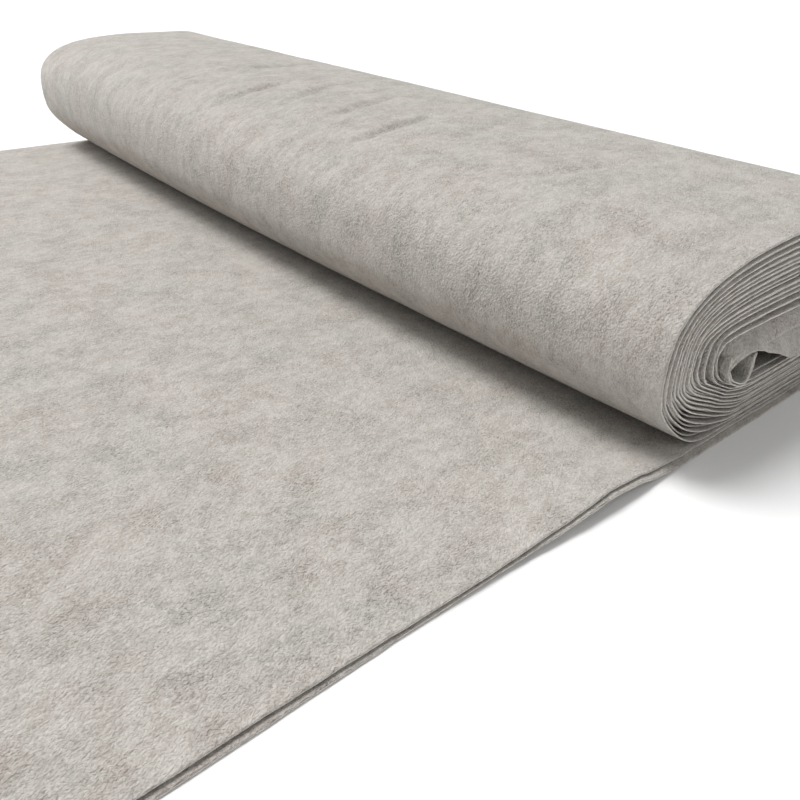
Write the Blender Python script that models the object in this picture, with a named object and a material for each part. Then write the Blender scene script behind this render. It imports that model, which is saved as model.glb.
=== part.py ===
# A roll of felt: cloth folded once along its length and wound flat, without a core.
# The loose end runs out from under the roll and lies flat in front of it.
# Metres, +Z up. X runs along the roll, and the loose end lies towards -Y.
# The origin is on the surface, at the middle of the whole part.

import math

import bmesh
import bpy

# Cloth
LAYER = 0.0011              # thickness of one layer of felt
LAYER_GAP = 0.0004          # air between the two layers of the loose end
PIECE_GAP = 0.0003          # clearance between the roll and the cloth it lies on
DOUBLED = 2 * LAYER + LAYER_GAP

# Roll
ROLL_LENGTH = 0.900         # folded width of cloth cut about 1.8 m wide
ROLL_DEPTH = 0.240          # front nose to back nose of the flattened winding
NEAR_HEIGHT = 0.1079        # underside to crown at the +X end
FAR_HEIGHT = 0.1249         # the winding is looser and taller at the -X end
BACK_RISE_FAR = -0.010      # share by which the back of the winding stands lower at the -X end
BACK_RISE_NEAR = 0.020      # and higher at the +X end
BACK_RISE_FROM = 0.110      # where that sets in, from the front nose
BACK_RISE_REACH = 0.080
SLUMP = 0.012               # how far the foot leans out at the middle of the roll
STATIONS = 12               # cross-sections along the roll, less one

# Loose end
HALF_SPAN = 0.4535          # half of the longest extent, along X
LOOSE_FRONT = -0.300        # cut end of the cloth, in front of the roll
LOOSE_BACK_INSET = 0.040    # it stops this far short of the roll's back nose
FOLD_INSET = 0.0004         # the fold lies this far inside the roll's far end

# Places that follow from the sizes above
BACK_NOSE = -LOOSE_FRONT
FRONT_NOSE = BACK_NOSE - ROLL_DEPTH
ROLL_FAR_X = -HALF_SPAN
ROLL_NEAR_X = ROLL_FAR_X + ROLL_LENGTH
UNDERSIDE = DOUBLED + PIECE_GAP

# The winding's outline at the +X end, as four quarter curves that meet at the noses,
# the level crown and the flat underside. Centres and reaches are measured from the front
# nose and from the underside. The power is 2 for an ellipse and more for a squarer turn.
# name, centre_y, centre_z, reach_y, reach_z, power, where it starts in degrees, steps
OUTLINE = [
    ("front foot", 0.065, 0.0550, 0.065, 0.0550, 2.1, 270, 12),
    ("front top", 0.160, 0.0550, 0.160, 0.0529, 3.1, 180, 18),
    ("back top", 0.185, 0.0525, 0.055, 0.0554, 3.0, 90, 12),
    ("back foot", 0.185, 0.0525, 0.055, 0.0525, 2.0, 0, 10),
]

# The hollow in the middle of the winding: a flat oval open at both ends.
HOLLOW_FRONT = 0.050        # front edge of the hollow, from the front nose
HOLLOW_BACK = 0.196
HOLLOW_LOW = 0.0205         # above the underside
HOLLOW_HIGH = 0.0540
HOLLOW_POWER = 2.6
HOLLOW_STEPS = 9            # to a quarter of the oval

# The inner end of the cloth, curled over in the hollow: the middle line of its section.
# y from the front nose, z above the underside
CURL_HALF = 0.0013
CURL = [
    ("root", 0.0502, 0.0390),
    ("turning down", 0.0535, 0.0335),
    ("lowest", 0.0610, 0.0298),
    ("turning up", 0.0690, 0.0305),
    ("standing end", 0.0740, 0.0360),
    ("tip", 0.0775, 0.0475),
]
CURL_STEPS = 4              # points between two rows of the table
CURL_FREE_Y = 0.0560        # past here the curl's outer side stands clear of the wall
ROOT_LOW = 0.0310           # the curl itself is the hollow's front wall between these
ROOT_HIGH = 0.0410          # two heights above the underside
FRONT_WALL = 0.0100         # how far in from its front edge that wall can reach

# How the loose end's cut side lies, by place along Y from the roll's front nose.
# y, how far the lower layer stops short of the longest extent, the same for the upper
# layer, lift off the surface
CUT_SIDE = [
    (-0.360, 0.0000, 0.0012, 0.0000),
    (-0.270, 0.0000, 0.0015, 0.0000),
    (-0.210, 0.0008, 0.0025, 0.0000),
    (-0.150, 0.0003, 0.0029, 0.0002),
    (-0.110, 0.0003, 0.0034, 0.0010),
    (-0.085, 0.0005, 0.0038, 0.0022),
    (-0.055, 0.0008, 0.0036, 0.0046),
    (-0.030, 0.0010, 0.0036, 0.0062),
    (-0.012, 0.0006, 0.0044, 0.0048),
    (0.006, 0.0002, 0.0052, 0.0016),
    (0.030, 0.0000, 0.0054, 0.0002),
    (0.060, 0.0000, 0.0050, 0.0000),
    (0.200, 0.0000, 0.0045, 0.0000),
]
LIFT_REACH = 0.085          # how far in from the cut side the lift fades out
ACROSS = (-0.30, -0.10, 0.10, 0.26, 0.34, 0.37, 0.39, 0.41, 0.425, 0.438)
EDGE_REACH = 0.0285         # how far in the cut side's uneven edge is evened out
ALONG_STEPS = 34            # cross-sections of the loose end along Y, less one

LOWER = 0                   # the layer of cloth that a point of the loose end is on
UPPER = 1
FOLD_STEPS = (240, 210, 180, 150, 120)

FELT_COLOUR = (0.53, 0.50, 0.465, 1.0)
FELT_ROUGHNESS = 0.95


def clear_scene():
    for item in list(bpy.data.objects):
        bpy.data.objects.remove(item, do_unlink=True)


def felt_material(name):
    material = bpy.data.materials.new(name)
    material.use_nodes = True
    shader = material.node_tree.nodes["Principled BSDF"]
    shader.inputs["Base Color"].default_value = FELT_COLOUR
    shader.inputs["Roughness"].default_value = FELT_ROUGHNESS
    shader.inputs["Metallic"].default_value = 0.0
    return material


def finish_object(name, mesh_builder, material):
    """Turn a finished bmesh into a smooth-shaded object with one material."""
    bmesh.ops.recalc_face_normals(mesh_builder, faces=mesh_builder.faces)
    mesh = bpy.data.meshes.new(name)
    mesh_builder.to_mesh(mesh)
    mesh_builder.free()
    mesh.shade_smooth()
    mesh.set_sharp_from_angle(angle=math.radians(40))
    mesh.materials.append(material)
    item = bpy.data.objects.new(name, mesh)
    bpy.context.collection.objects.link(item)
    return item


def smooth_step(value):
    value = min(1.0, max(0.0, value))
    return value * value * (3.0 - 2.0 * value)


def rounded_quarter(centre_y, centre_z, reach_y, reach_z, power, start, steps):
    """A quarter of a superellipse, clockwise from its start angle, evenly stepped."""
    ease = power / 2.0
    points = []
    for step in range(steps + 1):
        part = step / steps
        share = part ** ease / (part ** ease + (1.0 - part) ** ease)
        turn = math.radians(start - 90.0 * share)
        across = math.copysign(abs(math.cos(turn)) ** (2.0 / power), math.cos(turn))
        up = math.copysign(abs(math.sin(turn)) ** (2.0 / power), math.sin(turn))
        points.append((centre_y + reach_y * across, centre_z + reach_z * up))
    return points


def winding_outline():
    """The outer section, clockwise from the underside over the front nose."""
    points = []
    for _, centre_y, centre_z, reach_y, reach_z, power, start, steps in OUTLINE:
        points += rounded_quarter(centre_y, centre_z, reach_y, reach_z, power, start, steps)
    return without_doubles(points)


def without_doubles(points):
    kept = []
    for point in points:
        if not kept or math.dist(point, kept[-1]) > 1e-5:
            kept.append(point)
    if math.dist(kept[0], kept[-1]) < 1e-5:
        kept.pop()
    return kept


def curl_line():
    """The curl's middle line: a Catmull-Rom curve through the table's rows."""
    rows = [(y, z) for _, y, z in CURL]
    first = (2 * rows[0][0] - rows[1][0], 2 * rows[0][1] - rows[1][1])
    last = (2 * rows[-1][0] - rows[-2][0], 2 * rows[-1][1] - rows[-2][1])
    knots = [first] + rows + [last]
    line = []
    for index in range(1, len(knots) - 2):
        for step in range(CURL_STEPS):
            line.append(curve_point(knots[index - 1:index + 3], step / CURL_STEPS))
    line.append(rows[-1])
    return line


def curve_point(knots, part):
    before, start, end, after = knots
    point = []
    for axis in range(2):
        linear = end[axis] - before[axis]
        square = 2 * before[axis] - 5 * start[axis] + 4 * end[axis] - after[axis]
        cube = 3 * start[axis] - before[axis] - 3 * end[axis] + after[axis]
        value = 2 * start[axis] + linear * part + square * part ** 2 + cube * part ** 3
        point.append(0.5 * value)
    return tuple(point)


def curl_sides():
    """The curl's inner side and outer side, each from its root to its tip."""
    line = curl_line()
    inner = []
    outer = []
    for index, (y, z) in enumerate(line):
        before = line[max(0, index - 1)]
        after = line[min(len(line) - 1, index + 1)]
        run = math.dist(before, after)
        side_y = -(after[1] - before[1]) / run * CURL_HALF
        side_z = (after[0] - before[0]) / run * CURL_HALF
        inner.append((y + side_y, z + side_z))
        outer.append((y - side_y, z - side_z))
    return inner, outer


def hollow_wall():
    """The oval clockwise from its front edge, over the top and back along the floor."""
    centre_y = (HOLLOW_FRONT + HOLLOW_BACK) / 2
    centre_z = (HOLLOW_LOW + HOLLOW_HIGH) / 2
    reach_y = (HOLLOW_BACK - HOLLOW_FRONT) / 2
    reach_z = (HOLLOW_HIGH - HOLLOW_LOW) / 2
    wall = []
    for start in (180, 90, 0, -90):
        wall += rounded_quarter(centre_y, centre_z, reach_y, reach_z, HOLLOW_POWER, start, HOLLOW_STEPS)
    return without_doubles(wall)


def hollow_outline():
    """The hollow's section: its wall, then round both sides of the curl."""
    wall = []
    for y, z in hollow_wall():
        if y > HOLLOW_FRONT + FRONT_WALL or not ROOT_LOW < z < ROOT_HIGH:
            wall.append((y, z))
    inner, outer = curl_sides()
    free_outer = [point for point in outer if point[0] > CURL_FREE_Y]
    return wall + free_outer + list(reversed(inner))


def add_loop(builder, points, x):
    """A closed loop of edges in the plane X = x."""
    verts = [builder.verts.new((x, y, z)) for y, z in points]
    edges = []
    for index, vert in enumerate(verts):
        edges.append(builder.edges.new((vert, verts[(index + 1) % len(verts)])))
    return edges


def extrude_steps(builder, faces, step_vector, steps):
    """Extrude a flat region several times, leaving a row of cross-sections."""
    cap = faces
    for step in range(steps):
        grown = bmesh.ops.extrude_face_region(builder, geom=cap)["geom"]
        moved = [part for part in grown if isinstance(part, bmesh.types.BMVert)]
        bmesh.ops.translate(builder, verts=moved, vec=step_vector)
        if step > 0:
            bmesh.ops.delete(builder, geom=cap, context="FACES_ONLY")
        cap = [part for part in grown if isinstance(part, bmesh.types.BMFace)]


def lie_of_roll(x, y, z):
    """Move a point of the straight winding to where the real, uneven one has it."""
    along = (x - ROLL_FAR_X) / ROLL_LENGTH
    height = FAR_HEIGHT + (NEAR_HEIGHT - FAR_HEIGHT) * along
    rise = BACK_RISE_FAR + (BACK_RISE_NEAR - BACK_RISE_FAR) * along
    rise *= smooth_step((y - BACK_RISE_FROM) / BACK_RISE_REACH)
    stretch = height / NEAR_HEIGHT * (1.0 + rise)
    middle = 1.0 - (2.0 * along - 1.0) ** 2
    lean = SLUMP * middle * (1.0 - z / NEAR_HEIGHT) * (1.0 - y / ROLL_DEPTH)
    return x, FRONT_NOSE + y - lean, UNDERSIDE + z * stretch


def wound_roll(material):
    builder = bmesh.new()
    outer = add_loop(builder, winding_outline(), ROLL_NEAR_X)
    inner = add_loop(builder, hollow_outline(), ROLL_NEAR_X)
    filled = bmesh.ops.triangle_fill(builder, edges=outer + inner, use_beauty=True)["geom"]
    cap = [part for part in filled if isinstance(part, bmesh.types.BMFace)]
    extrude_steps(builder, cap, (-ROLL_LENGTH / STATIONS, 0, 0), STATIONS)
    for vert in builder.verts:
        vert.co = lie_of_roll(*vert.co)
    return finish_object("wound_roll", builder, material)


def cut_side_at(y):
    """The table's row for any place along Y, eased between its rows."""
    from_nose = y - FRONT_NOSE
    rows = CUT_SIDE
    if from_nose <= rows[0][0]:
        return rows[0][1:]
    for before, after in zip(rows, rows[1:]):
        if from_nose <= after[0]:
            part = smooth_step((from_nose - before[0]) / (after[0] - before[0]))
            return tuple(a + (b - a) * part for a, b in zip(before[1:], after[1:]))
    return rows[-1][1:]


def doubled_profile():
    """Section of the doubled cloth across Y: along the bottom, round the fold, back on
    top, then in and out again between the layers. Each point knows its layer."""
    fold_x = -HALF_SPAN + FOLD_INSET + DOUBLED / 2
    outward = (fold_x,) + ACROSS + (HALF_SPAN,)
    inward = tuple(reversed(outward))
    profile = [(x, 0.0, LOWER) for x in inward]
    for degrees in FOLD_STEPS:
        turn = math.radians(degrees)
        fold_z = DOUBLED / 2 * (1 + math.sin(turn))
        profile.append((fold_x + DOUBLED / 2 * math.cos(turn), fold_z, LOWER))
    profile += [(x, DOUBLED, UPPER) for x in outward]
    profile += [(x, LAYER + LAYER_GAP, UPPER) for x in inward]
    profile += [(x, LAYER, LOWER) for x in outward]
    return profile


def lie_of_cloth(x, y, z, layer):
    """Set the cut side's uneven edge, and its low lift off the surface."""
    lower_short, upper_short, lift = cut_side_at(y)
    short = upper_short if layer == UPPER else lower_short
    lifted = smooth_step((x - HALF_SPAN + LIFT_REACH) / LIFT_REACH)
    edge = smooth_step((x - HALF_SPAN + EDGE_REACH) / EDGE_REACH)
    return x - short * edge, y, z + lift * lifted


def loose_end(material):
    builder = bmesh.new()
    layer_of = builder.verts.layers.int.new("cloth_layer")
    verts = []
    for x, z, layer in doubled_profile():
        vert = builder.verts.new((x, LOOSE_FRONT, z))
        vert[layer_of] = layer
        verts.append(vert)
    cap = [builder.faces.new(verts)]
    back = BACK_NOSE - LOOSE_BACK_INSET
    extrude_steps(builder, cap, (0, (back - LOOSE_FRONT) / ALONG_STEPS, 0), ALONG_STEPS)
    for vert in builder.verts:
        vert.co = lie_of_cloth(*vert.co, vert[layer_of])
    return finish_object("loose_end", builder, material)


def build():
    clear_scene()
    wound_roll(felt_material("wound_felt"))
    loose_end(felt_material("loose_felt"))


build()
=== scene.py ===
import math

import bmesh
import bpy
from mathutils import Matrix, Vector, noise


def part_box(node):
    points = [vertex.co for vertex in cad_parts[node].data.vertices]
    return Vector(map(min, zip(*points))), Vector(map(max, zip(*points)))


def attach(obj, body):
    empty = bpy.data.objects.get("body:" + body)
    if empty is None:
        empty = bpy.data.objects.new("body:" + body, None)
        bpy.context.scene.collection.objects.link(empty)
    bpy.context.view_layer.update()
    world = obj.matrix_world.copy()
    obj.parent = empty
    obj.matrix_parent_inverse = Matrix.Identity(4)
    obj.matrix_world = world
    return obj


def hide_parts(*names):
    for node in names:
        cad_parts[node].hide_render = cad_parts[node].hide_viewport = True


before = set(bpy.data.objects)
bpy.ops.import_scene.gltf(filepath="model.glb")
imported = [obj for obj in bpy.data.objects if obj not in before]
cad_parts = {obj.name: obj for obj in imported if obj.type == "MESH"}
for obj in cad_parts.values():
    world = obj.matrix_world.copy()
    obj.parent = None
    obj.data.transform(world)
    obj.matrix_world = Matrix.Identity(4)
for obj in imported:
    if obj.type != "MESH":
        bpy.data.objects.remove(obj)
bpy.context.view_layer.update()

print("frame loaded:", ", ".join(sorted(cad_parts)))

mm = 0.001

# the frame's own places, which the cloth is laid on
rollLow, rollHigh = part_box("wound_roll")
looseLow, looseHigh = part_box("loose_end")

roll = {
    "depth": 240 * mm,           # front nose to back nose
    "nearHeight": 107.9 * mm,    # underside to crown at the cut edges' end
    "farHeight": 124.9 * mm,     # at the folded end
    "backRiseNear": 0.020,       # the back of the top stands this share higher at the near end
    "backRiseFar": -0.010,       # and lower at the folded end
    "backRiseFrom": 110 * mm,
    "backRiseReach": 80 * mm,
    "slump": 12 * mm,            # the foot leans out at the middle of the roll
    "slumpBy": 0.15,             # of a turn, from where the cloth goes under the roll
}
rollFar, rollNear = rollLow[0], rollHigh[0]
rollLength = rollNear - rollFar
backNose = rollHigh[1]
frontNose = backNose - roll["depth"]
underside = rollLow[2]
cutX = looseHigh[0]              # the loose cloth's longest cut edge
foldX = looseLow[0]
looseFront = looseLow[1]
foldedWidth = cutX - foldX

cloth = {
    "layer": 1.1 * mm,
    "gap": 0.4 * mm,             # air between the two layers where nothing presses them
    "pressedLayer": 0.9 * mm,    # felt under the roll's own weight
    "pressedGap": 0.04 * mm,
    "looseGap": 1.3 * mm,        # more air between them where the turns are slack
    "cutThickness": 0.72,        # share of the thickness that the cut edge has
}


def ease(value):
    value = min(1.0, max(0.0, value))
    return value * value * (3 - 2 * value)


def readTable(rows, at, column, soft=False):
    # straight or eased between rows, held at both ends; the first column is the place
    if at <= rows[0][0]:
        return rows[0][column]
    for before, after in zip(rows, rows[1:]):
        if at <= after[0]:
            part = (at - before[0]) / (after[0] - before[0])
            if soft:
                part = ease(part)
            return before[column] + (after[column] - before[column]) * part
    return rows[-1][column]


def readSoft(rows, at, column):
    return readTable(rows, at, column, soft=True)


def wander(at, size, seed):
    # slow unevenness from -1 to 1 along one length
    return noise.noise(Vector((at / size, seed * 7.31, seed * 3.17)))


# How the winding's turns lie, in mm. Each turn is the doubled cloth's middle line.
# Insets are from the roll's outline at its crown and back nose.
# turn, top, back, top power
turns = [
    (0, 1.3, 1.3, 3.1),
    (1, 1.3, 1.3, 3.1),
    (2, 4.5, 4.6, 3.3),
    (3, 8.0, 7.9, 3.5),
    (4, 11.6, 11.2, 3.7),
    (5, 14.7, 14.4, 3.9),
    (6, 17.3, 17.6, 4.1),
    (7, 20.3, 20.8, 4.3),
    (8, 24.0, 24.0, 4.4),
    (9, 29.5, 27.2, 4.6),
    (10, 33.3, 30.4, 4.8),
    (11, 35.9, 33.7, 5.4),
    (12, 39.0, 37.0, 6.5),
    (13, 44.4, 40.2, 7.5),
    (14, 47.4, 43.4, 6.0),
]
topInset, backInset, topPower = range(1, 4)

# how each turn falls from its front nose to its foot: from the front nose of the roll,
# and above its underside; the inner turns fan out and close up again lower down
falls = [
    [(1.3, 54.0), (1.3, 54.0), (1.3, 54.0), (1.3, 54.0),
     (1.3, 54.0), (1.3, 54.0), (62.0, -1.6), (80.0, -1.6)],
    [(1.3, 54.0), (3.4, 40.0), (10.6, 28.6), (21.4, 17.6),
     (33.4, 8.4), (44.8, 3.3), (57.0, 1.3), (80.0, 0.9)],
    [(3.8, 54.0), (6.0, 41.0), (12.5, 31.7), (22.2, 22.8),
     (33.2, 14.8), (45.4, 9.2), (59.6, 5.0), (79.6, 3.1)],
    [(6.4, 54.0), (8.5, 42.5), (14.3, 35.3), (22.7, 27.2),
     (33.7, 19.8), (45.7, 14.4), (59.9, 9.0), (79.9, 5.2)],
    [(9.0, 53.8), (10.9, 43.6), (16.4, 38.0), (24.2, 31.1),
     (35.2, 24.1), (47.2, 18.7), (61.2, 12.6), (81.2, 7.3)],
    [(11.5, 53.6), (13.2, 44.5), (18.0, 39.2), (25.5, 33.0),
     (36.7, 26.8), (47.7, 22.0), (61.7, 15.4), (82.7, 9.4)],
    [(14.0, 53.1), (15.4, 45.0), (19.6, 40.2), (26.5, 35.0),
     (37.7, 29.2), (48.7, 24.2), (62.7, 17.6), (84.7, 11.5)],
    [(16.4, 52.6), (17.5, 45.7), (21.2, 41.2), (28.3, 36.4),
     (38.7, 31.2), (49.7, 26.3), (63.7, 19.6), (86.7, 13.6)],
    [(18.8, 52.4), (19.9, 47.2), (23.7, 42.6), (29.9, 38.1),
     (39.4, 33.2), (50.5, 28.1), (64.5, 21.5), (88.5, 15.7)],
    [(21.8, 53.0), (23.3, 48.2), (27.4, 43.5), (33.4, 39.2),
     (42.5, 34.2), (52.0, 29.6), (65.8, 23.2), (89.8, 17.8)],
    [(26.9, 53.0), (28.6, 47.6), (32.6, 42.6), (37.8, 39.2),
     (44.8, 35.4), (53.5, 31.1), (67.0, 24.7), (91.0, 19.9)],
    [(34.0, 53.5), (35.0, 47.2), (38.2, 42.2), (42.4, 39.2),
     (48.0, 36.0), (56.0, 32.0), (68.3, 26.2), (92.1, 22.0)],
    [(41.0, 54.2), (42.0, 48.0), (44.6, 42.6), (48.0, 39.0),
     (52.4, 36.0), (59.2, 32.3), (70.2, 27.6), (93.1, 24.1)],
    [(44.8, 54.8), (45.7, 49.4), (48.2, 44.3), (51.1, 40.6),
     (55.5, 37.0), (61.6, 33.4), (71.9, 29.2), (93.9, 26.2)],
    [(50.4, 46.5), (51.2, 44.2), (53.6, 40.6), (57.6, 36.6),
     (62.4, 33.9), (67.6, 31.6), (71.8, 31.0), (94.0, 28.3)],
]

winding = {
    "crown": 160,            # from the front nose
    "backCrown": 185,        # the top is level between the two
    "levelShare": 0.1,       # of the quarter it is counted with
    "backNoseHeight": 52.5,
    "backNoseDrop": 1.1,     # the back nose lies lower with every turn
    "backFoot": 185,
    "backTopPower": 3.0,
    "backFootPower": 2.0,
    "lastTurn": 13.75,       # then comes the curl
    "quarterSteps": 90,
    "looseSteps": 110,       # along the loose end
    "curlSteps": 4,          # between two places of the curl
    "curlPart": 0.02,        # of a turn, counted from one place of the curl to the next
    "flatShare": 0.3,        # share of a turn's first quarter that lies flat under the roll
}

# the cloth's inner end, curled over inside the last turn
curl = [
    (50.4, 46.5), (51.2, 44.2), (53.6, 40.6), (57.6, 36.6), (62.4, 33.9), (67.6, 31.6),
    (71.8, 31.0), (74.6, 32.4), (76.2, 35.6), (76.7, 40.0), (76.6, 44.4), (77.0, 48.6),
]


def quarter(centreY, centreZ, reachY, reachZ, power, start, part):
    # a quarter of a superellipse, from its start angle against the clock
    pull = power / 2
    share = part ** pull / (part ** pull + (1 - part) ** pull)
    turn = math.radians(start + 90 * share)
    across = math.copysign(abs(math.cos(turn)) ** (2 / power), math.cos(turn))
    up = math.copysign(abs(math.sin(turn)) ** (2 / power), math.sin(turn))
    return centreY + reachY * across, centreZ + reachZ * up


def turnPoint(at):
    # a place on the winding; at is 0 under the roll, 0.25 behind it, 0.5 on top, 0.75 in front
    top = roll["nearHeight"] / mm - readTable(turns, at + 0.5, topInset)
    back = roll["depth"] / mm - readTable(turns, at + 0.75, backInset)
    backHeight = winding["backNoseHeight"] - winding["backNoseDrop"] * at
    turn = int(at)
    side, part = divmod((at % 1) * 4, 1)
    if side == 0:
        centre = winding["backFoot"]
        foot, bottom = falls[turn][-1]
        if part < winding["flatShare"]:
            return foot + (centre - foot) * part / winding["flatShare"], bottom
        part = (part - winding["flatShare"]) / (1 - winding["flatShare"])
        power = winding["backFootPower"]
        return quarter(centre, backHeight, back - centre, backHeight - bottom, power, 270, part)
    if side == 1:
        centre = winding["backCrown"]
        power = winding["backTopPower"]
        return quarter(centre, backHeight, back - centre, top - backHeight, power, 0, part)
    if side == 2:
        centre = winding["crown"]
        front, nose = falls[turn + 1][0]
        power = readTable(turns, at + 0.5, topPower)
        level = winding["levelShare"]
        if part < level:
            return winding["backCrown"] + (centre - winding["backCrown"]) * part / level, top
        part = (part - level) / (1 - level)
        return quarter(centre, nose, centre - front, top - nose, power, 90, part)
    return fallPoint(falls[turn + 1], part)


def fallPoint(knots, part):
    # a smooth line through the knots, upright where it starts and level where it ends
    start = (knots[1][0], 2 * knots[0][1] - knots[1][1])
    end = (2 * knots[-1][0] - knots[-2][0], knots[-2][1])
    whole = [Vector(knot) for knot in (start, *knots, end)]
    index = min(int(part * (len(knots) - 1)), len(knots) - 2)
    return tuple(throughKnots(whole[index:index + 4], part * (len(knots) - 1) - index))


def windingLine():
    # (turn number, y, z) in mm all along the cloth, from its loose cut end to its inner end
    start = (looseFront - frontNose) / mm
    foot, bottom = falls[0][-1]
    line = []
    for step in range(winding["looseSteps"]):
        part = step / winding["looseSteps"]
        line.append((part - 1, start + (foot - start) * part, bottom))
    steps = winding["quarterSteps"] * 4
    for step in range(round(winding["lastTurn"] * steps) + 1):
        at = step / steps
        line.append((at, *turnPoint(at)))
    for index in range(1, len(curl) - 1):
        knots = [Vector(curl[max(0, min(len(curl) - 1, index + k))]) for k in (-1, 0, 1, 2)]
        for step in range(winding["curlSteps"]):
            part = step / winding["curlSteps"]
            at = winding["lastTurn"] + winding["curlPart"] * (index + part)
            line.append((at, *throughKnots(knots, part)))
    return line


def throughKnots(knots, part):
    before, start, end, after = knots
    linear = end - before
    square = 2 * before - 5 * start + 4 * end - after
    cube = 3 * start - before - 3 * end + after
    return 0.5 * (2 * start + linear * part + square * part ** 2 + cube * part ** 3)


def measured(line):
    # adds the length run so far, in metres
    run = 0
    rows = [(0.0, *line[0])]
    for before, after in zip(line, line[1:]):
        run += math.dist(before[1:], after[1:]) * mm
        rows.append((run, *after))
    return rows


path = measured(windingLine())
clothLength = path[-1][0]
print(f"cloth path: {clothLength:.2f} m, {len(path)} points")


# where the cut edges stand: how far each layer reaches past the roll's end
edges = {
    "upperSeed": 3,
    "lowerSeed": 5,
    "slow": 210 * mm,            # wavelength of the slow wander along the cloth
    "slowSize": 0.5 * mm,
    "woundBy": 0.35,             # by this part of a turn the edge has left the loose cloth's line
    "shortSpread": 0.7,          # how much the inner layer's standing back wanders, as a share
    "last": (13.3, 13.7),        # between these turns it is the outer layer that stands back
    "lastFade": 0.1,
    "lastShort": 2.2 * mm,
    "ragged": 7 * mm,
    "raggedSize": 0.24 * mm,
    "reach": 60 * mm,            # how far in from the edge its unevenness fades out
    "gape": 0.4 * mm,            # the loose cloth's upper layer stands off the lower one at its edge
    "gapeSpread": 0.5,
    "gapeSize": 60 * mm,
    "gapeReach": 26 * mm,
    "gapeBefore": 30,            # mm from the front nose
    "nicks": 26 * mm,            # the loose cloth is cut in short strokes
    "nickSize": 0.6 * mm,
    "foldInset": 0.4 * mm,       # the fold side is set in, and pushed out with the turns
    "foldPush": 0.6,
    "foldBy": 0.3,
    "foldSlow": 330 * mm,
    "foldSize": 0.7 * mm,
}
# turn number, how far past the outer turn's edge, in mm: the middle is pushed out
telescope = [
    (0.0, 0.0), (0.76, 0.0), (0.95, 1.4), (1.2, 2.4), (1.5, 1.0), (1.8, 0.8), (2.0, 1.6), (2.2, 1.6),
    (2.5, 1.7), (2.9, 2.2), (3.15, 3.0), (3.5, 2.0), (3.9, 1.6), (4.2, 1.6), (4.5, 2.2), (4.9, 2.7),
    (5.2, 3.0), (5.5, 2.3), (5.9, 1.9), (6.2, 1.8), (6.5, 2.3), (7.5, 2.3), (7.9, 2.9), (8.2, 2.9),
    (8.5, 2.3), (9.8, 2.3), (10.1, 3.2), (10.5, 3.0), (10.75, 2.3), (11.1, 2.3), (11.5, 4.4),
    (11.75, 2.5), (12.1, 3.2), (12.5, 6.0), (12.75, 2.5), (13.1, 2.5), (13.5, 7.0), (13.75, 7.0),
    (14.2, 6.6),
]
# how far the turn's inner layer stands back behind its outer one, by the part of a turn
innerShort = [(0, 3.8), (0.12, 3.2), (0.25, 0.9), (0.8, 0.9), (0.88, 2.4), (1, 3.8)]
# how the loose cloth's cut side lies: place along Y from the roll's front nose, how far
# the lower layer stops short of the longest edge, the same for the upper one, and the lift
cutSide = [
    (-360, 0.0, 2.6, 0.0), (-262, 0.0, 2.7, 0.0), (-232, 0.6, 3.5, 0.0), (-206, 1.3, 3.5, 0.0),
    (-180, 1.9, 3.5, 0.0), (-160, 2.5, 3.5, 0.1), (-113, 2.5, 3.3, 1.0), (-94, 2.2, 3.1, 1.8),
    (-73, 1.3, 3.3, 3.1), (-50, 0.8, 3.3, 5.0), (-30, 1.0, 3.6, 6.2), (-12, 0.6, 4.2, 4.8),
    (6, 0.2, 4.2, 1.6), (30, 0.0, 4.0, 0.2), (60, 0.0, 3.8, 0.0), (200, 0.0, 3.6, 0.0),
]
lowerShort, upperShort, lift = 1, 2, 3
liftReach = 85 * mm

# the last turn sags in the winding's mouth: from the front nose, how far the outer and
# the inner layer hang below where they lie deep inside, all in mm
sag = [
    (50.3, 0, 0), (50.5, 3.2, 3.2), (51, 6.4, 6.4), (52, 8.7, 8.7), (54, 9.1, 9.1), (57, 9.0, 9.0),
    (64, 8.9, 8.9), (72, 9.0, 9.0), (80, 9.9, 10.3), (86, 12.4, 13.0),
    (95, 12.6, 17.0), (104, 12.6, 20.5), (115, 12.3, 25.8), (127, 12.0, 30.4), (140, 11.0, 30.4),
    (160, 7.0, 23.0), (190, 0, 0),
]
sagReach = 11 * mm
sagStretch = 0.35            # a deeper sag reaches further in
sagCurve = 1.5
sagFrom, sagTo = 13.05, 13.76        # turns
# deeper in, the last turn's nose and curl stand further from the turn around them
flare = {
    "size": 7.0,                 # mm
    "reach": 26 * mm,
    "from": 13.6,                # turns
    "fromFade": 0.08,
    "to": 13.98,
    "toFade": 0.12,
}


def stationsBetween(first, last, largest, bend):
    # stations along the path, closer where it bends
    rows = [row for row in path if first - 1e-9 <= row[0] <= last + 1e-9]
    rows = [pathAt(first)] + rows + [pathAt(last)]
    stations = [rows[0]]
    owed = 0.0
    for index in range(1, len(rows) - 1):
        length = rows[index][0] - rows[index - 1][0]
        turned = bendOf(rows[index - 1], rows[index], rows[index + 1])
        owed += max(length / largest, turned / bend)
        if owed >= 1 and last - rows[index][0] > largest * 0.3:
            stations.append(rows[index])
            owed = 0.0
    stations.append(rows[-1])
    return stations


def bendOf(before, here, after):
    first = Vector((here[2] - before[2], here[3] - before[3]))
    second = Vector((after[2] - here[2], after[3] - here[3]))
    if first.length < 1e-6 or second.length < 1e-6:
        return 0.0
    return first.angle(second)


def pathAt(run):
    for before, after in zip(path, path[1:]):
        if run <= after[0]:
            part = (run - before[0]) / (after[0] - before[0])
            return tuple(a + (b - a) * part for a, b in zip(before, after))
    return path[-1]


def outwardAt(run):
    # the section's outward direction, across the path
    nearby = 0.8 * mm
    back = pathAt(max(0.0, run - nearby))
    ahead = pathAt(min(clothLength, run + nearby))
    along = Vector((ahead[2] - back[2], ahead[3] - back[3])).normalized()
    return Vector((along.y, -along.x))


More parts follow.
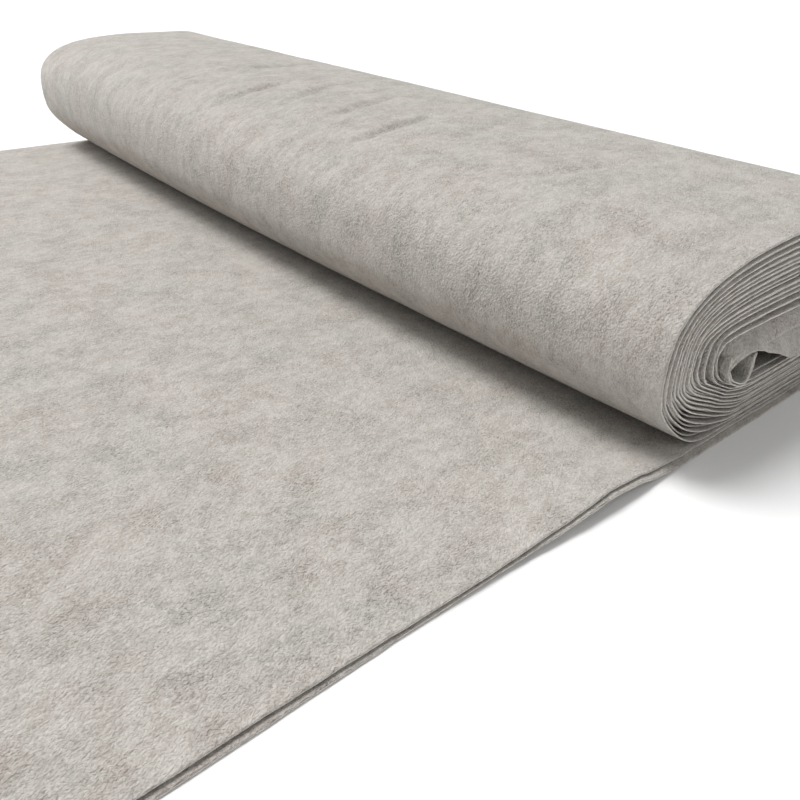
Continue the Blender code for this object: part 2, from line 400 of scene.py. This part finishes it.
# heights above the underside and places from the front nose, in mm
pressing = {
    "wound": 0.02,               # the loose end stops here, counted in turns
    "falling": 0.76,             # from this part of a turn on, it falls in front
    "height": 30,                # the roll's weight presses the turns below this
    "fannedHeight": 44,          # and the inner ones, where they fan out in front, below this
    "fannedFrom": 7,             # turns
    "fade": 14,
}
slack = {
    "turns": 4,                  # the outer turns are slack low in front, the last of them less so
    "lastShare": 0.4,
    "below": (48, 16),           # where, and over how far it sets in
    "before": (72, 24),
    "topTurn": (7.2, 7.8),       # and one turn is slack over the hollow
    "above": (66, 12),
}


def pressedAt(at, z):
    # 1 where the roll's weight presses the turns together
    if at <= pressing["wound"] or at >= winding["lastTurn"]:
        return 0.0
    fanned = at % 1 > pressing["falling"] and at > pressing["fannedFrom"]
    height = pressing["fannedHeight"] if fanned else pressing["height"]
    return ease((height - z) / pressing["fade"])


def gapAt(at, y, z):
    # the air between the two layers
    gap = cloth["gap"] + (cloth["pressedGap"] - cloth["gap"]) * pressedAt(at, z)
    if 0 < at < slack["turns"] and at % 1 > pressing["falling"]:
        below, belowFade = slack["below"]
        before, beforeFade = slack["before"]
        share = 1 if at < slack["turns"] - 1 else slack["lastShare"]
        gap += cloth["looseGap"] * ease((below - z) / belowFade) * ease((before - y) / beforeFade) * share
    if slack["topTurn"][0] < at < slack["topTurn"][1]:
        above, aboveFade = slack["above"]
        gap += cloth["looseGap"] * ease((z - above) / aboveFade)
    return gap


def lieOfRoll(x, y, z, wound):
    along = (x - rollFar) / rollLength
    height = roll["farHeight"] + (roll["nearHeight"] - roll["farHeight"]) * along
    rise = roll["backRiseFar"] + (roll["backRiseNear"] - roll["backRiseFar"]) * along
    rise *= ease((y - roll["backRiseFrom"]) / roll["backRiseReach"])
    stretch = height / roll["nearHeight"] * (1 + rise) if z > 0 else 1
    middle = 1 - (2 * along - 1) ** 2
    lean = roll["slump"] * middle * (1 - z / roll["nearHeight"]) * (1 - y / roll["depth"]) * wound
    return Vector((x, frontNose + y - lean, underside + z * stretch))


def edgeAt(at, run, fromNose, upper):
    # X of one layer's cut edge at a place on the path
    column, seed = (upperShort, edges["upperSeed"]) if upper else (lowerShort, edges["lowerSeed"])
    onLoose = cutX - readSoft(cutSide, fromNose, column) * mm
    onRoll = rollNear + readTable(telescope, at, 1) * mm
    onRoll += edges["slowSize"] * wander(run, edges["slow"], edges["lowerSeed"])
    lastFrom, lastTo = edges["last"]
    fade = edges["lastFade"]
    if upper:
        short = readTable(innerShort, at % 1, 1) * mm
        short *= 1 + edges["shortSpread"] * wander(run, edges["slow"], seed)
        onRoll -= short * ease((lastFrom - at) / (2 * fade))
    elif at > lastFrom:
        onRoll -= edges["lastShort"] * ease((at - lastFrom) / fade) * ease((lastTo - at) / fade)
    onLoose += edges["nickSize"] * (wander(run, edges["nicks"], seed + 4) if upper else 0)
    mixed = onLoose + (onRoll - onLoose) * ease(at / edges["woundBy"])
    ragged = wander(run, edges["ragged"], seed + 1) + 0.5 * wander(run, edges["ragged"] / 3, seed + 2)
    return mixed + edges["raggedSize"] * ragged


def foldAt(at, run):
    pushed = readTable(telescope, at, 1) * mm * edges["foldPush"]
    uneven = edges["foldSize"] * (0.5 + wander(run, edges["foldSlow"], 9)) * ease(at / edges["foldBy"])
    return foldX + edges["foldInset"] + pushed + uneven


# soft troughs across the top of the roll: X, distance along the outer turn from the
# crown towards the front, length along the turn, width along X, depth, slant, all in mm
dents = [
    (-48, 88, 44, 18, 3.4, 3), (-139, 28, 46, 19, 2.5, -9), (2, 64, 46, 17, 2.9, 20),
    (67, 44, 42, 18, 3.7, 10), (139, 66, 40, 17, 3.3, 4), (142, 104, 14, 14, 1.4, 0),
    (195, 40, 40, 20, 1.6, 10), (302, 56, 30, 17, 2.9, -10), (-240, 40, 45, 20, 1.6, 8),
    (-205, 90, 30, 18, 1.2, 5), (385, 70, 40, 22, 1.2, 6), (100, 75, 30, 16, 1.2, 8),
    (30, 30, 30, 16, 1.3, -6),
]
dentSteep, dentShallow = 0.42, 0.55      # shares of the width: its -X flank is steeper


def dentAt(x, fromCrown):
    depth = 0.0
    for dentX, dentRun, length, width, deep, slant in dents:
        along = (fromCrown / mm - dentRun) / length
        across = (x / mm - dentX - slant * along) / width
        across /= dentSteep if across < 0 else dentShallow
        depth += deep * math.exp(-along ** 4 - across * across * 2)
    return depth * mm


waves = {
    "roll": 0.55 * mm,
    "rollSize": 130 * mm,
    "rollStretch": 1.3,          # longer along the roll than round it
    "rollBy": 0.2,               # of a turn
    "fine": 0.16 * mm,
    "fineSize": 34 * mm,
    "loose": 0.6 * mm,
    "looseSize": 120 * mm,
    "looseLevel": 0.1,
    "looseBefore": (20, 60),     # mm from the front nose, and over how far they set in
}


def waveAt(x, run, at):
    slow = noise.noise(Vector((x / waves["rollSize"], run / waves["rollSize"] * waves["rollStretch"], 0.3)))
    fine = noise.noise(Vector((x / waves["fineSize"], run / waves["fineSize"], 4.1)))
    return (waves["roll"] * slow + waves["fine"] * fine) * ease(at / waves["rollBy"])


def looseWaveAt(x, y, depthIn):
    # the upper loose layer is nowhere quite flat, and gapes a little at its cut edge
    slow = noise.noise(Vector((x / waves["looseSize"], y * mm / waves["looseSize"], 7.7)))
    before, fade = waves["looseBefore"]
    rise = waves["loose"] * max(0.0, waves["looseLevel"] + slow) * ease((before - y) / fade)
    gape = edges["gape"] * (1 + edges["gapeSpread"] * wander(y * mm, edges["gapeSize"], 8))
    if depthIn is not None:
        rise += gape * ease(1 - depthIn / edges["gapeReach"]) * ease(1 - y / edges["gapeBefore"])
    return rise


crownRun = next(row[0] for row in path if row[1] >= 0.5 and row[2] <= winding["crown"])


# in the roll's top all that lies inside the outermost layer has sunk a little, which
# leaves that layer room for its dents; in mm
settled = {
    "top": 3.9,
    "from": 0.25,                # the outer turn's inner layer sinks from this part of it on
    "front": (22, 26),           # where, and over how far it sets in
    "back": (218, 24),
    "low": (50, 14),
    "edge": (17.92, 28),
    "fold": 40,
}


def settledAt(y, z, fromEdge, fromFold):
    depth = settled["top"] * ease((y - settled["front"][0]) / settled["front"][1])
    depth *= ease((settled["back"][0] - y) / settled["back"][1])
    depth *= ease((z - settled["low"][0]) / settled["low"][1])
    depth *= ease((fromEdge - settled["edge"][0]) / settled["edge"][1])
    return depth * ease(fromFold / settled["fold"])


def clothPoint(station, outward, depthIn, upper, foldTurn):
    # one point of the doubled cloth; depthIn is the distance in from the cut edge, or
    # foldTurn the angle round the fold
    run, at, y, z = station
    pressed = pressedAt(at, z)
    layer = cloth["layer"] + (cloth["pressedLayer"] - cloth["layer"]) * pressed
    half = (layer + gapAt(at, y, z)) / 2
    edge = edgeAt(at, run, y, upper)
    fold = foldAt(at, run)
    if foldTurn is None:
        x = cutX - depthIn - (cutX - edge) * ease(1 - depthIn / edges["reach"])
        x = max(x, fold + half)
        side = -half if upper else half
    else:
        x = fold + half - half * math.sin(foldTurn)
        side = half * math.cos(foldTurn)
    bump = waveAt(x, run, at)
    inside = at >= 1 or (upper and at > settled["from"])
    if not inside:
        bump -= dentAt(x, run - crownRun)
    if upper and at <= pressing["wound"]:
        z += looseWaveAt(x, y, depthIn) / mm
    y += outward.x * (side + bump) / mm
    z += outward.y * (side + bump) / mm
    if at > flare["from"]:
        share = ease((at - flare["from"]) / flare["fromFade"])
        share *= ease((flare["to"] - at) / flare["toFade"])
        y += flare["size"] * share * ease((edge - x) / flare["reach"])
    if sagFrom < at < sagTo:
        hang = readSoft(sag, y, 2 if upper else 1)
        reach = sagReach + sagStretch * hang * mm
        z -= hang * min(1, max(0, 1 - (edge - x) / reach)) ** sagCurve
    if inside:
        z -= settledAt(y, z, (edge - x) / mm, (x - fold) / mm)
    wound = ease(at / roll["slumpBy"])
    point = lieOfRoll(x, y * mm, z * mm, wound)
    if at <= pressing["wound"]:
        point.z += readSoft(cutSide, y, lift) * mm * ease((x - cutX + liftReach) / liftReach)
    return point


def columnsOf(steps):
    # distances in from the cut edge, growing by steps of (how many, how far apart)
    places = [0.0]
    for count, apart in steps:
        for _ in range(count):
            places.append(places[-1] + apart * mm)
    return [place for place in places if place < foldedWidth - 2 * mm]


foldSteps = 6


def sweptSheet(name, stations, lowerColumns, upperColumns):
    # one layer of felt folded in two: a flat grid laid along the path, then thickened
    columns = [(depth, False, None) for depth in lowerColumns]
    columns += [(None, False, math.pi * (step + 0.5) / foldSteps) for step in range(foldSteps)]
    columns += [(depth, True, None) for depth in reversed(upperColumns)]
    builder = bmesh.new()
    plump = builder.verts.layers.deform.verify()
    bmesh.ops.create_grid(builder, x_segments=len(columns) - 1, y_segments=len(stations) - 1, size=0.5)
    uvLayer = builder.loops.layers.uv.new("cloth")
    outwards = [outwardAt(station[0]) for station in stations]
    laidOut = {}
    for vert in builder.verts:
        column = round((vert.co.x + 0.5) * (len(columns) - 1))
        row = round((vert.co.y + 0.5) * (len(stations) - 1))
        depth, upper, turn = columns[column]
        station = stations[row]
        if turn is None:
            across = depth if not upper else 2 * foldedWidth - depth
        else:
            across = foldedWidth + (turn - math.pi / 2) * cloth["layer"]
        laidOut[vert] = (station[0], across)
        pressed = pressedAt(station[1], station[3])
        thick = 1 + (cloth["pressedLayer"] / cloth["layer"] - 1) * pressed
        vert[plump][0] = thick * (cloth["cutThickness"] if depth == 0.0 else 1)
        vert.co = clothPoint(station, outwards[row], depth, upper, turn)
    for face in builder.faces:
        for loop in face.loops:
            loop[uvLayer].uv = laidOut[loop.vert]
    mesh = bpy.data.meshes.new(name)
    builder.to_mesh(mesh)
    builder.free()
    mesh.shade_smooth()
    piece = bpy.data.objects.new(name, mesh)
    bpy.context.collection.objects.link(piece)
    piece.vertex_groups.new(name="plump")
    thicken = piece.modifiers.new("thickness", "SOLIDIFY")
    thicken.thickness = cloth["layer"]
    thicken.offset = 0
    thicken.use_even_offset = False
    thicken.vertex_group = "plump"
    thicken.thickness_vertex_group = 0
    thicken.material_offset_rim = 1
    print(f"{name}: {len(stations)} x {len(columns)} points")
    return piece


def runTo(turn):
    # length of cloth up to where this turn starts under the roll
    return next(row[0] for row in path if row[1] >= turn)


# the sheets meet a little past a turn's start, where the roll lies on them
looseTo = runTo(0) + 65 * mm
outerTo = runTo(1) + 60 * mm

# each sheet's largest step along the cloth, the bend in radians that also sets a station,
# and the columns in from the cut edge in either layer: how many, how far apart in mm
plainColumns = [(3, 0.9), (3, 2.5), (3, 7.0), (2, 20.0), (20, 60.0)]
endColumns = [(2, 0.9), (3, 2.2), (2, 4.8), (2, 14.0), (1, 40.0), (5, 190.0)]
sheets = {
    "loose_cloth": {
        "step": 4.6 * mm,
        "bend": 0.2,
        "lower": plainColumns,
        "upper": [(4, 0.8), (4, 1.8), (4, 3.0), (160, 6.0)],
    },
    "outer_turn": {
        "step": 5.0 * mm,
        "bend": 0.09,
        "lower": [(4, 0.8), (4, 1.8), (4, 3.0), (16, 6.0), (272, 1.8), (60, 6.0)],
        "upper": plainColumns,
    },
    "inner_turns": {
        "step": 6.0 * mm,
        "bend": 0.12,
        "lower": endColumns,
        "upper": endColumns,
    },
}
foldColumns = (9 * mm, 4 * mm)       # the last two before the fold
foldClear = 12 * mm


def withFoldColumns(columns):
    kept = [place for place in columns if place < foldedWidth - foldClear]
    return kept + [foldedWidth - place for place in foldColumns]


def makeCloth():
    joins = (0.0, looseTo, outerTo, clothLength)
    made = []
    for (name, sheet), first, last in zip(sheets.items(), joins, joins[1:]):
        stations = stationsBetween(first, last, sheet["step"], sheet["bend"])
        lower = withFoldColumns(columnsOf(sheet["lower"]))
        upper = withFoldColumns(columnsOf(sheet["upper"]))
        made.append(sweptSheet(name, stations, lower, upper))
    return made


# Felt: pale and dark fibres carded together, so it is cloudy, with short streaks that
# lie mostly along the cloth. The "cloth" map is in metres: along the roll of cloth, across it.
felt = {
    "pale": (0.580, 0.551, 0.509),
    "warmCloud": (0.398, 0.348, 0.312),
    "coolCloud": (0.375, 0.361, 0.325),
    "darkFibre": (0.112, 0.090, 0.078),
    "paleFibre": (0.73, 0.705, 0.665),
    "cloudScale": 42,            # to a metre
    "cloudStretch": 0.85,        # clouds are longer along the cloth
    "cloudLimits": (0.36, 0.70),
    "cloudShare": 0.30,
    "hueScale": 16,
    "hueLimits": (0.38, 0.62),
    "tuftScale": 210,
    "tuftStretch": 0.8,
    "tuftLimits": (0.35, 0.70),
    "tuftShare": 0.50,
    "grainScale": 720,
    "grainLimits": (0.35, 0.70),
    "grainShare": 0.34,
    "swirlScale": 210,
    "swirl": 0.9 * mm,           # how far the fibres bend aside
    "streaks": [                 # turn in degrees, length and width in mm
        (4, 2.8, 0.85),
        (33, 2.3, 0.75),
        (-38, 2.3, 0.75),
    ],
    "darkLimits": (0.56, 0.70),
    "darkShare": 0.66,
    "darkInClouds": 0.75,        # share of the dark fibres that keeps to the clouds
    "paleLimits": (0.58, 0.72),
    "paleShare": 0.30,
    "bump": 0.75,
    "bumpDepth": 0.45 * mm,
    "roughness": 0.96,
    "specular": 0.12,
    "sheen": 0.25,
    "sheenRoughness": 0.6,
}
cutFelt = {
    "pale": (0.74, 0.705, 0.655),
    "dark": (0.35, 0.32, 0.28),
    "fibreScale": 1500,
    "fibreLimits": (0.35, 0.7),
    "clumpScale": 260,
    "clumpLimits": (0.4, 0.7),
    "bump": 0.8,
    "bumpDepth": 0.3 * mm,
}


def newNode(tree, kind, inputs, **settings):
    # inputs maps a socket to a value, or to the output that feeds it
    node = tree.nodes.new("ShaderNode" + kind)
    for setting, value in settings.items():
        setattr(node, setting, value)
    for socket, value in inputs.items():
        if isinstance(value, bpy.types.NodeSocket):
            tree.links.new(value, node.inputs[socket])
        else:
            node.inputs[socket].default_value = value
    return node


def noiseAt(tree, place, scale, detail, turn=0, seed=0.0):
    scaled = newNode(tree, "Mapping", {
        "Vector": place,
        "Rotation": (0, 0, math.radians(turn)),
    })
    stretched = newNode(tree, "Mapping", {
        "Vector": scaled.outputs["Vector"],
        "Location": (seed, seed * 1.7, seed * 0.6),
        "Scale": scale,
    })
    pattern = newNode(tree, "TexNoise", {
        "Vector": stretched.outputs["Vector"],
        "Scale": 1.0,
        "Detail": detail,
        "Roughness": 0.6,
    }, noise_dimensions="3D")
    return pattern.outputs["Fac"]


def spread(tree, value, low, high, top=1.0):
    return newNode(tree, "MapRange", {
        "Value": value,
        "From Min": low,
        "From Max": high,
        "To Max": top,
    }, interpolation_type="SMOOTHSTEP").outputs["Result"]


def combine(tree, operation, first, second):
    return newNode(tree, "Math", {0: first, 1: second}, operation=operation).outputs["Value"]


def mixColour(tree, share, first, second):
    first = first if isinstance(first, bpy.types.NodeSocket) else (*first, 1)
    return newNode(tree, "Mix", {0: share, 6: first, 7: (*second, 1)}, data_type="RGBA").outputs[2]


def swirled(tree, place):
    # the same map, pushed aside a little, so that fibres bend and cross
    pushed = newNode(tree, "TexNoise", {
        "Vector": place,
        "Scale": felt["swirlScale"],
        "Detail": 1.0,
    }, noise_dimensions="3D")
    halfway = {0: pushed.outputs["Color"], 1: (0.5, 0.5, 0.5)}
    centred = newNode(tree, "VectorMath", halfway, operation="SUBTRACT").outputs["Vector"]
    small = newNode(tree, "VectorMath", {0: centred, "Scale": felt["swirl"] * 2}, operation="SCALE")
    moved = newNode(tree, "VectorMath", {0: place, 1: small.outputs["Vector"]}, operation="ADD")
    return moved.outputs["Vector"]


def streaksIn(tree, place, seed, low, high):
    # the fibres of every direction together
    streaks = None
    height = None
    for number, (turn, length, width) in enumerate(felt["streaks"]):
        pattern = noiseAt(tree, place, (1000 / length, 1000 / width, 1), 1.0, turn, seed + number * 3.3)
        mask = spread(tree, pattern, low, high)
        streaks = mask if streaks is None else combine(tree, "MAXIMUM", streaks, mask)
        height = pattern if height is None else combine(tree, "ADD", height, pattern)
    return streaks, height


def startMaterial(name, roughness):
    material = bpy.data.materials.new(name)
    material.use_nodes = True
    shader = material.node_tree.nodes["Principled BSDF"]
    shader.inputs["Roughness"].default_value = roughness
    shader.inputs["Specular IOR Level"].default_value = felt["specular"]
    shader.inputs["Sheen Weight"].default_value = felt["sheen"]
    shader.inputs["Sheen Roughness"].default_value = felt["sheenRoughness"]
    return material, material.node_tree, shader


def finishMaterial(tree, shader, colour, height, strength, depth):
    bumped = newNode(tree, "Bump", {"Height": height, "Strength": strength, "Distance": depth})
    tree.links.new(colour, shader.inputs["Base Color"])
    tree.links.new(bumped.outputs["Normal"], shader.inputs["Normal"])


def feltSurface():
    material, tree, shader = startMaterial("felt_surface", felt["roughness"])
    place = newNode(tree, "UVMap", {}, uv_map="cloth").outputs["UV"]
    bent = swirled(tree, place)
    cloudSize = (felt["cloudScale"] * felt["cloudStretch"], felt["cloudScale"], 1)
    cloud = spread(tree, noiseAt(tree, place, cloudSize, 5.0), *felt["cloudLimits"])
    hue = noiseAt(tree, place, (felt["hueScale"],) * 3, 3.0, seed=5.0)
    hue = spread(tree, hue, *felt["hueLimits"])
    tuftSize = (felt["tuftScale"] * felt["tuftStretch"], felt["tuftScale"], 1)
    tuft = spread(tree, noiseAt(tree, bent, tuftSize, 3.0, seed=9.0), *felt["tuftLimits"])
    grain = noiseAt(tree, place, (felt["grainScale"],) * 3, 2.0, seed=13.0)
    grain = spread(tree, grain, *felt["grainLimits"])
    cloudColour = mixColour(tree, hue, felt["warmCloud"], felt["coolCloud"])
    darkened = combine(tree, "MULTIPLY", cloud, felt["cloudShare"])
    darkened = combine(tree, "ADD", darkened, combine(tree, "MULTIPLY", tuft, felt["tuftShare"]))
    darkened = combine(tree, "ADD", darkened, combine(tree, "MULTIPLY", grain, felt["grainShare"]))
    clouded = {0: darkened, 6: (*felt["pale"], 1), 7: cloudColour}
    colour = newNode(tree, "Mix", clouded, data_type="RGBA").outputs[2]
    dark, darkHeight = streaksIn(tree, bent, 20.0, *felt["darkLimits"])
    density = combine(tree, "MULTIPLY", cloud, felt["darkInClouds"])
    density = combine(tree, "ADD", density, 1 - felt["darkInClouds"])
    dark = combine(tree, "MULTIPLY", combine(tree, "MULTIPLY", dark, density), felt["darkShare"])
    colour = mixColour(tree, dark, colour, felt["darkFibre"])
    pale, paleHeight = streaksIn(tree, bent, 50.0, *felt["paleLimits"])
    colour = mixColour(tree, combine(tree, "MULTIPLY", pale, felt["paleShare"]), colour, felt["paleFibre"])
    height = combine(tree, "ADD", paleHeight, combine(tree, "ADD", tuft, grain))
    height = combine(tree, "ADD", darkHeight, height)
    finishMaterial(tree, shader, colour, height, felt["bump"], felt["bumpDepth"])
    return material


def feltCutEdge():
    # cut through, the felt shows the ends of its fibres
    material, tree, shader = startMaterial("felt_cut_edge", 1.0)
    place = newNode(tree, "TexCoord", {}).outputs["Object"]
    fibre = noiseAt(tree, place, (cutFelt["fibreScale"],) * 3, 2.0)
    clump = noiseAt(tree, place, (cutFelt["clumpScale"],) * 3, 3.0, seed=4.0)
    darkFibre = spread(tree, fibre, *cutFelt["fibreLimits"], top=0.5)
    darkClump = spread(tree, clump, *cutFelt["clumpLimits"], top=0.5)
    both = combine(tree, "ADD", darkFibre, darkClump)
    colour = mixColour(tree, both, cutFelt["pale"], cutFelt["dark"])
    height = combine(tree, "ADD", fibre, clump)
    finishMaterial(tree, shader, colour, height, cutFelt["bump"], cutFelt["bumpDepth"])
    return material


surface = feltSurface()
cutEdge = feltCutEdge()
print("felt materials ready")

loose, outer, inner = makeCloth()
pieces = (
    (loose, "loose_felt", ["loose_end"]),
    (outer, "wound_felt", ["wound_roll"]),
    (inner, "wound_felt", ["wound_roll"]),
)
for piece, slotName, nodes in pieces:
    piece.data.materials.append(surface)
    piece.data.materials.append(cutEdge)
    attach(piece, "root")
    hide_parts(*nodes)


# Stage, light and camera
stage = {
    "floorSize": 14.0,
    "floorDrop": 0.2 * mm,       # just clear of the cloth
    "floorColour": (0.92, 0.92, 0.92),
    "sky": 0.34,
    "suns": [                    # strength, tilt from upright, turn, softness in degrees
        ("key", 2.55, 29, 114, 26),
        ("side", 0.40, 50, 290, 60),
    ],
    "window": {                  # a large pale lamp to the left, so the far end is brighter
        "place": (-1.6, -0.6, 1.2),
        "aim": (-0.3, 0.0, 0.05),
        "size": 1.0,
        "power": 13.0,
    },
}


def makeStage():
    builder = bmesh.new()
    bmesh.ops.create_grid(builder, x_segments=1, y_segments=1, size=stage["floorSize"] / 2)
    bmesh.ops.translate(builder, verts=builder.verts, vec=(0, 0, -stage["floorDrop"]))
    mesh = bpy.data.meshes.new("floor")
    builder.to_mesh(mesh)
    builder.free()
    floor = bpy.data.objects.new("floor", mesh)
    bpy.context.collection.objects.link(floor)
    material = bpy.data.materials.new("pale_floor")
    material.use_nodes = True
    shader = material.node_tree.nodes["Principled BSDF"]
    shader.inputs["Base Color"].default_value = (*stage["floorColour"], 1)
    shader.inputs["Roughness"].default_value = 1.0
    shader.inputs["Specular IOR Level"].default_value = 0.0
    mesh.materials.append(material)


def makeLight():
    world = bpy.data.worlds.new("studio")
    world.use_nodes = True
    world.node_tree.nodes["Background"].inputs["Color"].default_value = (1, 1, 1, 1)
    world.node_tree.nodes["Background"].inputs["Strength"].default_value = stage["sky"]
    bpy.context.scene.world = world
    for name, strength, tilt, turn, softness in stage["suns"]:
        light = bpy.data.lights.new(name, "SUN")
        light.energy = strength
        light.angle = math.radians(softness)
        lamp = bpy.data.objects.new(name, light)
        lamp.rotation_euler = (-math.radians(tilt), 0, math.radians(turn))
        bpy.context.collection.objects.link(lamp)
    window = stage["window"]
    light = bpy.data.lights.new("window", "AREA")
    light.size = window["size"]
    light.energy = window["power"]
    lamp = bpy.data.objects.new("window", light)
    lamp.location = window["place"]
    lamp.rotation_euler = (Vector(window["aim"]) - lamp.location).to_track_quat("-Z", "Y").to_euler()
    bpy.context.collection.objects.link(lamp)


camera = {
    "place": (0.6075, -0.2390, 0.2325),
    "yaw": 49.9,
    "down": 30.95,
    "roll": -1.39,
    "lens": 34.2,
}


def makeCamera():
    yaw, down, tilt = (math.radians(camera[key]) for key in ("yaw", "down", "roll"))
    ahead = Vector((-math.sin(yaw) * math.cos(down), math.cos(yaw) * math.cos(down), -math.sin(down)))
    right = Vector((math.cos(yaw), math.sin(yaw), 0))
    below = ahead.cross(right)
    level = right
    right = level * math.cos(tilt) + below * math.sin(tilt)
    below = below * math.cos(tilt) - level * math.sin(tilt)
    lens = bpy.data.cameras.new("photo_view")
    lens.lens = camera["lens"]
    lens.sensor_width = 36
    lens.clip_start = 0.01
    eye = bpy.data.objects.new("photo_view", lens)
    turn = Matrix((right, -below, -ahead)).transposed()
    eye.matrix_world = Matrix.Translation(camera["place"]) @ turn.to_4x4()
    bpy.context.collection.objects.link(eye)
    bpy.context.scene.camera = eye


makeStage()
makeLight()
makeCamera()
bpy.context.scene.view_settings.view_transform = "Standard"
print("stage, light and camera ready")
